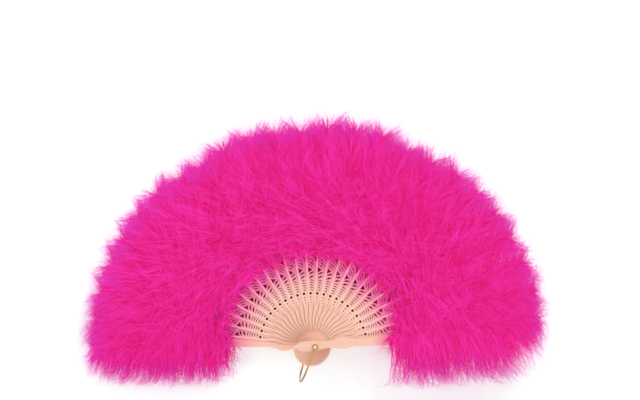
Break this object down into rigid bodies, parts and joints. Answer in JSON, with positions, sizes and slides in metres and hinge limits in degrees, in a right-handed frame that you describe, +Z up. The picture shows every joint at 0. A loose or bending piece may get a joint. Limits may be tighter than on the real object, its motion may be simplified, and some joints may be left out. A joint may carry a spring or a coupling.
{
  "type": "feather fan",
  "caption": "Folding hand fan: pierced plastic sticks between plain guards turn on one rivet, each carries a plume of marabou down, and a wire bail hangs at the rivet.",
  "frame": {"origin": "on the rivet's axis, half way through the stack of sticks, where the hand holds the fan", "axes": "+Z up with the open fan upright, +X to the right as seen from the front, -Y to the front, along the rivet"},
  "size_m": [0.4908, 0.0548, 0.2909],
  "materials": {
    "moulded_plastic": "satin moulded plastic, peach, with fine wear along edges",
    "marabou_down": "loose fluffy down, hot pink",
    "gold_metal": "polished pale gold plate",
    "satin_ribbon": "satin weave"
  },
  "bodies": {
    "back_stick": {"back_guard": "moulded_plastic", "plume_00": "marabou_down", "rivet_pin": "gold_metal", "rivet_cap": "gold_metal", "washer_front": "gold_metal", "washer_rear": "gold_metal", "ribbon": "satin_ribbon"},
    "stick_01": {"rib_01": "moulded_plastic", "plume_01": "marabou_down"},
    "stick_02": {"rib_02": "moulded_plastic", "plume_02": "marabou_down"},
    "stick_03": {"rib_03": "moulded_plastic", "plume_03": "marabou_down"},
    "stick_04": {"rib_04": "moulded_plastic", "plume_04": "marabou_down"},
    "stick_05": {"rib_05": "moulded_plastic", "plume_05": "marabou_down"},
    "stick_06": {"rib_06": "moulded_plastic", "plume_06": "marabou_down"},
    "stick_07": {"rib_07": "moulded_plastic", "plume_07": "marabou_down"},
    "stick_08": {"rib_08": "moulded_plastic", "plume_08": "marabou_down"},
    "stick_09": {"rib_09": "moulded_plastic", "plume_09": "marabou_down"},
    "stick_10": {"rib_10": "moulded_plastic", "plume_10": "marabou_down"},
    "stick_11": {"rib_11": "moulded_plastic", "plume_11": "marabou_down"},
    "stick_12": {"rib_12": "moulded_plastic", "plume_12": "marabou_down"},
    "stick_13": {"rib_13": "moulded_plastic", "plume_13": "marabou_down"},
    "stick_14": {"rib_14": "moulded_plastic", "plume_14": "marabou_down"},
    "stick_15": {"rib_15": "moulded_plastic", "plume_15": "marabou_down"},
    "stick_16": {"rib_16": "moulded_plastic", "plume_16": "marabou_down"},
    "stick_17": {"rib_17": "moulded_plastic", "plume_17": "marabou_down"},
    "stick_18": {"rib_18": "moulded_plastic", "plume_18": "marabou_down"},
    "stick_19": {"rib_19": "moulded_plastic", "plume_19": "marabou_down"},
    "stick_20": {"rib_20": "moulded_plastic", "plume_20": "marabou_down"},
    "stick_21": {"rib_21": "moulded_plastic", "plume_21": "marabou_down"},
    "stick_22": {"rib_22": "moulded_plastic", "plume_22": "marabou_down"},
    "stick_23": {"rib_23": "moulded_plastic", "plume_23": "marabou_down"},
    "front_stick": {"front_guard": "moulded_plastic", "plume_24": "marabou_down"},
    "carrying_bail": {"bail": "gold_metal"}
  },
  "joints": [
    {"name": "fan_fold", "type": "hinge", "parent": "back_stick", "child": "front_stick", "pos_m": [0, 0, 0], "axis": [0, -1, 0], "range_deg": [0, 172.8], "deforming": ["ribbon"]},
    {"name": "stick_01_swing", "type": "hinge", "parent": "back_stick", "child": "stick_01", "pos_m": [0, 0, 0], "axis": [0, -1, 0], "range_deg": [0, 7.25]},
    {"name": "stick_02_swing", "type": "hinge", "parent": "back_stick", "child": "stick_02", "pos_m": [0, 0, 0], "axis": [0, -1, 0], "range_deg": [0, 14.45]},
    {"name": "stick_03_swing", "type": "hinge", "parent": "back_stick", "child": "stick_03", "pos_m": [0, 0, 0], "axis": [0, -1, 0], "range_deg": [0, 21.65]},
    {"name": "stick_04_swing", "type": "hinge", "parent": "back_stick", "child": "stick_04", "pos_m": [0, 0, 0], "axis": [0, -1, 0], "range_deg": [0, 28.85]},
    {"name": "stick_05_swing", "type": "hinge", "parent": "back_stick", "child": "stick_05", "pos_m": [0, 0, 0], "axis": [0, -1, 0], "range_deg": [0, 36.05]},
    {"name": "stick_06_swing", "type": "hinge", "parent": "back_stick", "child": "stick_06", "pos_m": [0, 0, 0], "axis": [0, -1, 0], "range_deg": [0, 43.25]},
    {"name": "stick_07_swing", "type": "hinge", "parent": "back_stick", "child": "stick_07", "pos_m": [0, 0, 0], "axis": [0, -1, 0], "range_deg": [0, 50.45]},
    {"name": "stick_08_swing", "type": "hinge", "parent": "back_stick", "child": "stick_08", "pos_m": [0, 0, 0], "axis": [0, -1, 0], "range_deg": [0, 57.65]},
    {"name": "stick_09_swing", "type": "hinge", "parent": "back_stick", "child": "stick_09", "pos_m": [0, 0, 0], "axis": [0, -1, 0], "range_deg": [0, 64.85]},
    {"name": "stick_10_swing", "type": "hinge", "parent": "back_stick", "child": "stick_10", "pos_m": [0, 0, 0], "axis": [0, -1, 0], "range_deg": [0, 72.05]},
    {"name": "stick_11_swing", "type": "hinge", "parent": "back_stick", "child": "stick_11", "pos_m": [0, 0, 0], "axis": [0, -1, 0], "range_deg": [0, 79.25]},
    {"name": "stick_12_swing", "type": "hinge", "parent": "back_stick", "child": "stick_12", "pos_m": [0, 0, 0], "axis": [0, -1, 0], "range_deg": [0, 86.45]},
    {"name": "stick_13_swing", "type": "hinge", "parent": "back_stick", "child": "stick_13", "pos_m": [0, 0, 0], "axis": [0, -1, 0], "range_deg": [0, 93.65]},
    {"name": "stick_14_swing", "type": "hinge", "parent": "back_stick", "child": "stick_14", "pos_m": [0, 0, 0], "axis": [0, -1, 0], "range_deg": [0, 100.85]},
    {"name": "stick_15_swing", "type": "hinge", "parent": "back_stick", "child": "stick_15", "pos_m": [0, 0, 0], "axis": [0, -1, 0], "range_deg": [0, 108.05]},
    {"name": "stick_16_swing", "type": "hinge", "parent": "back_stick", "child": "stick_16", "pos_m": [0, 0, 0], "axis": [0, -1, 0], "range_deg": [0, 115.25]},
    {"name": "stick_17_swing", "type": "hinge", "parent": "back_stick", "child": "stick_17", "pos_m": [0, 0, 0], "axis": [0, -1, 0], "range_deg": [0, 122.45]},
    {"name": "stick_18_swing", "type": "hinge", "parent": "back_stick", "child": "stick_18", "pos_m": [0, 0, 0], "axis": [0, -1, 0], "range_deg": [0, 129.65]},
    {"name": "stick_19_swing", "type": "hinge", "parent": "back_stick", "child": "stick_19", "pos_m": [0, 0, 0], "axis": [0, -1, 0], "range_deg": [0, 136.85]},
    {"name": "stick_20_swing", "type": "hinge", "parent": "back_stick", "child": "stick_20", "pos_m": [0, 0, 0], "axis": [0, -1, 0], "range_deg": [0, 144.05]},
    {"name": "stick_21_swing", "type": "hinge", "parent": "back_stick", "child": "stick_21", "pos_m": [0, 0, 0], "axis": [0, -1, 0], "range_deg": [0, 151.25]},
    {"name": "stick_22_swing", "type": "hinge", "parent": "back_stick", "child": "stick_22", "pos_m": [0, 0, 0], "axis": [0, -1, 0], "range_deg": [0, 158.45]},
    {"name": "stick_23_swing", "type": "hinge", "parent": "back_stick", "child": "stick_23", "pos_m": [0, 0, 0], "axis": [0, -1, 0], "range_deg": [0, 165.65]},
    {"name": "bail_swing", "type": "hinge", "parent": "back_stick", "child": "carrying_bail", "pos_m": [0, 0, 0], "axis": [0, -1, 0], "range_deg": [-50, 95]}
  ],
  "couplings": [
    {"joint": "stick_01_swing", "follows": "fan_fold", "ratio": 0.041667},
    {"joint": "stick_02_swing", "follows": "fan_fold", "ratio": 0.083333},
    {"joint": "stick_03_swing", "follows": "fan_fold", "ratio": 0.125},
    {"joint": "stick_04_swing", "follows": "fan_fold", "ratio": 0.16667},
    {"joint": "stick_05_swing", "follows": "fan_fold", "ratio": 0.20833},
    {"joint": "stick_06_swing", "follows": "fan_fold", "ratio": 0.25},
    {"joint": "stick_07_swing", "follows": "fan_fold", "ratio": 0.29167},
    {"joint": "stick_08_swing", "follows": "fan_fold", "ratio": 0.33333},
    {"joint": "stick_09_swing", "follows": "fan_fold", "ratio": 0.375},
    {"joint": "stick_10_swing", "follows": "fan_fold", "ratio": 0.41667},
    {"joint": "stick_11_swing", "follows": "fan_fold", "ratio": 0.45833},
    {"joint": "stick_12_swing", "follows": "fan_fold", "ratio": 0.5},
    {"joint": "stick_13_swing", "follows": "fan_fold", "ratio": 0.54167},
    {"joint": "stick_14_swing", "follows": "fan_fold", "ratio": 0.58333},
    {"joint": "stick_15_swing", "follows": "fan_fold", "ratio": 0.625},
    {"joint": "stick_16_swing", "follows": "fan_fold", "ratio": 0.66667},
    {"joint": "stick_17_swing", "follows": "fan_fold", "ratio": 0.70833},
    {"joint": "stick_18_swing", "follows": "fan_fold", "ratio": 0.75},
    {"joint": "stick_19_swing", "follows": "fan_fold", "ratio": 0.79167},
    {"joint": "stick_20_swing", "follows": "fan_fold", "ratio": 0.83333},
    {"joint": "stick_21_swing", "follows": "fan_fold", "ratio": 0.875},
    {"joint": "stick_22_swing", "follows": "fan_fold", "ratio": 0.91667},
    {"joint": "stick_23_swing", "follows": "fan_fold", "ratio": 0.95833}
  ]
}
